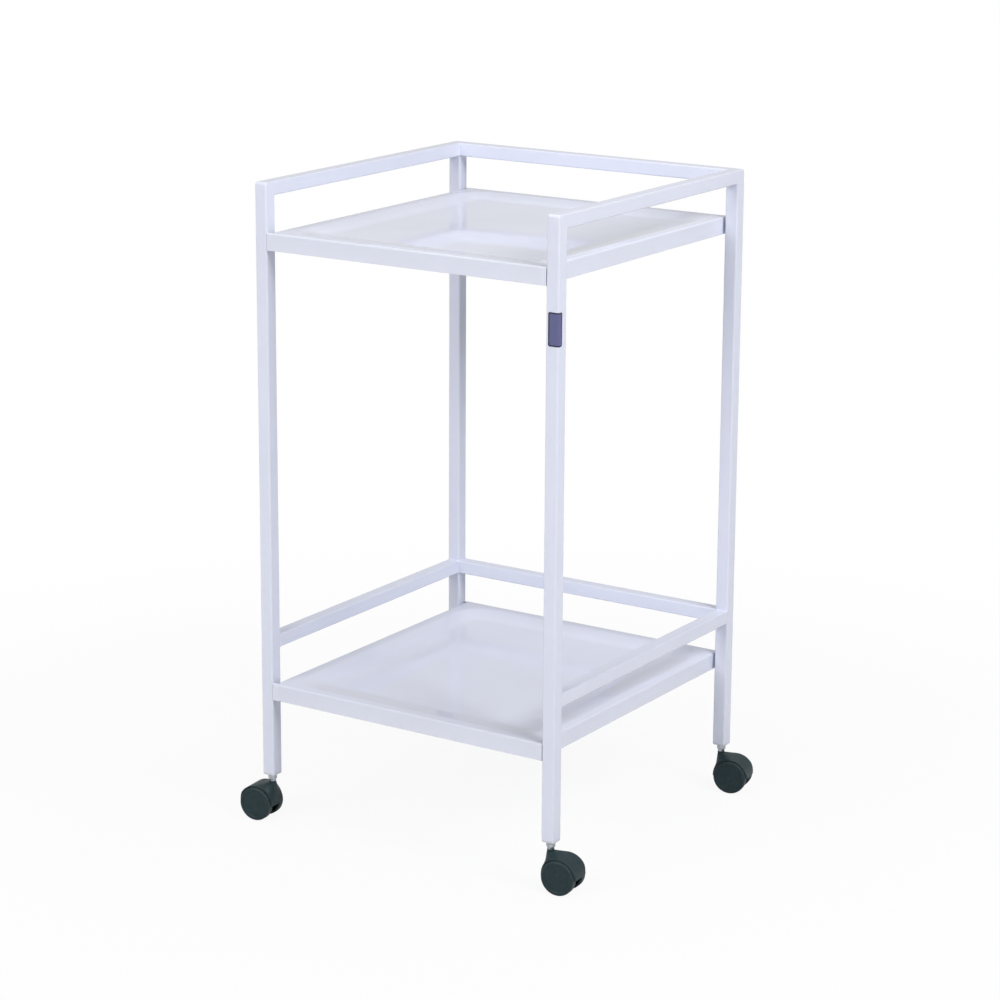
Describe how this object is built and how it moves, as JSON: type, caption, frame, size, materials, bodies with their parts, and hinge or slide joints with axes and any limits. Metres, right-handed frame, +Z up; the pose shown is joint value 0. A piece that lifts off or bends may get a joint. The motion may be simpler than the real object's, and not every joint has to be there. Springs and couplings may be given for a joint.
{
  "type": "two-tier instrument trolley",
  "caption": "Square two-tier clinical trolley of white square tube with pressed trays, guard rails on three sides and twin-wheel swivel casters.",
  "frame": {"origin": "on the floor, under the middle of the square of legs", "axes": "+X along the open front from left to right, +Y from the open front to the back rail, +Z up"},
  "size_m": [0.576, 0.5324, 0.94],
  "materials": {
    "frame_enamel": "gloss white enamel on steel tube",
    "tray_enamel": "gloss white enamel on pressed steel sheet",
    "insert_plastic": "moulded white plastic",
    "stem_steel": "zinc plated steel",
    "clip_steel": "phosphated spring steel",
    "hood_plastic": "moulded dark grey-green plastic",
    "wheel_plastic": "moulded dark grey-green plastic",
    "axle_steel": "bright drawn steel"
  },
  "bodies": {
    "frame": {"leg_front_left": "frame_enamel", "leg_insert_front_left": "insert_plastic", "stem_washer_front_left": "stem_steel", "caster_stem_front_left": "stem_steel", "stem_clip_front_left": "clip_steel", "leg_front_right": "frame_enamel", "leg_insert_front_right": "insert_plastic", "stem_washer_front_right": "stem_steel", "caster_stem_front_right": "stem_steel", "stem_clip_front_right": "clip_steel", "leg_back_left": "frame_enamel", "leg_insert_back_left": "insert_plastic", "stem_washer_back_left": "stem_steel", "caster_stem_back_left": "stem_steel", "stem_clip_back_left": "clip_steel", "leg_back_right": "frame_enamel", "leg_insert_back_right": "insert_plastic", "stem_washer_back_right": "stem_steel", "caster_stem_back_right": "stem_steel", "stem_clip_back_right": "clip_steel", "top_rail_left": "frame_enamel", "top_rail_back": "frame_enamel", "top_rail_right": "frame_enamel", "lower_rail_left": "frame_enamel", "lower_rail_back": "frame_enamel", "lower_rail_right": "frame_enamel", "upper_tray": "tray_enamel", "lower_tray": "tray_enamel"},
    "caster_front_left": {"caster_hood_front_left": "hood_plastic", "caster_axle_front_left": "axle_steel"},
    "wheel_front_left_a": {"caster_wheel_front_left_a": "wheel_plastic"},
    "wheel_front_left_b": {"caster_wheel_front_left_b": "wheel_plastic"},
    "caster_front_right": {"caster_hood_front_right": "hood_plastic", "caster_axle_front_right": "axle_steel"},
    "wheel_front_right_a": {"caster_wheel_front_right_a": "wheel_plastic"},
    "wheel_front_right_b": {"caster_wheel_front_right_b": "wheel_plastic"},
    "caster_back_left": {"caster_hood_back_left": "hood_plastic", "caster_axle_back_left": "axle_steel"},
    "wheel_back_left_a": {"caster_wheel_back_left_a": "wheel_plastic"},
    "wheel_back_left_b": {"caster_wheel_back_left_b": "wheel_plastic"},
    "caster_back_right": {"caster_hood_back_right": "hood_plastic", "caster_axle_back_right": "axle_steel"},
    "wheel_back_right_a": {"caster_wheel_back_right_a": "wheel_plastic"},
    "wheel_back_right_b": {"caster_wheel_back_right_b": "wheel_plastic"}
  },
  "joints": [
    {"name": "swivel_front_left", "type": "hinge", "parent": "frame", "child": "caster_front_left", "pos_m": [-0.24, -0.24, 0.05], "axis": [0, 0, 1], "continuous": true},
    {"name": "roll_front_left_a", "type": "hinge", "parent": "caster_front_left", "child": "wheel_front_left_a", "pos_m": [-0.25933, -0.24169, 0.025], "axis": [0.0872, -0.9962, 0], "continuous": true},
    {"name": "roll_front_left_b", "type": "hinge", "parent": "caster_front_left", "child": "wheel_front_left_b", "pos_m": [-0.25933, -0.24169, 0.025], "axis": [0.0872, -0.9962, 0], "continuous": true},
    {"name": "swivel_front_right", "type": "hinge", "parent": "frame", "child": "caster_front_right", "pos_m": [0.24, -0.24, 0.05], "axis": [0, 0, 1], "continuous": true},
    {"name": "roll_front_right_a", "type": "hinge", "parent": "caster_front_right", "child": "wheel_front_right_a", "pos_m": [0.25933, -0.23831, 0.025], "axis": [-0.0872, 0.9962, 0], "continuous": true},
    {"name": "roll_front_right_b", "type": "hinge", "parent": "caster_front_right", "child": "wheel_front_right_b", "pos_m": [0.25933, -0.23831, 0.025], "axis": [-0.0872, 0.9962, 0], "continuous": true},
    {"name": "swivel_back_left", "type": "hinge", "parent": "frame", "child": "caster_back_left", "pos_m": [-0.24, 0.24, 0.05], "axis": [0, 0, 1], "continuous": true},
    {"name": "roll_back_left_a", "type": "hinge", "parent": "caster_back_left", "child": "wheel_back_left_a", "pos_m": [-0.22079, 0.2427, 0.025], "axis": [-0.1392, 0.9903, 0], "continuous": true},
    {"name": "roll_back_left_b", "type": "hinge", "parent": "caster_back_left", "child": "wheel_back_left_b", "pos_m": [-0.22079, 0.2427, 0.025], "axis": [-0.1392, 0.9903, 0], "continuous": true},
    {"name": "swivel_back_right", "type": "hinge", "parent": "frame", "child": "caster_back_right", "pos_m": [0.24, 0.24, 0.05], "axis": [0, 0, 1], "continuous": true},
    {"name": "roll_back_right_a", "type": "hinge", "parent": "caster_back_right", "child": "wheel_back_right_a", "pos_m": [0.25904, 0.2437, 0.025], "axis": [-0.1908, 0.9816, 0], "continuous": true},
    {"name": "roll_back_right_b", "type": "hinge", "parent": "caster_back_right", "child": "wheel_back_right_b", "pos_m": [0.25904, 0.2437, 0.025], "axis": [-0.1908, 0.9816, 0], "continuous": true}
  ]
}
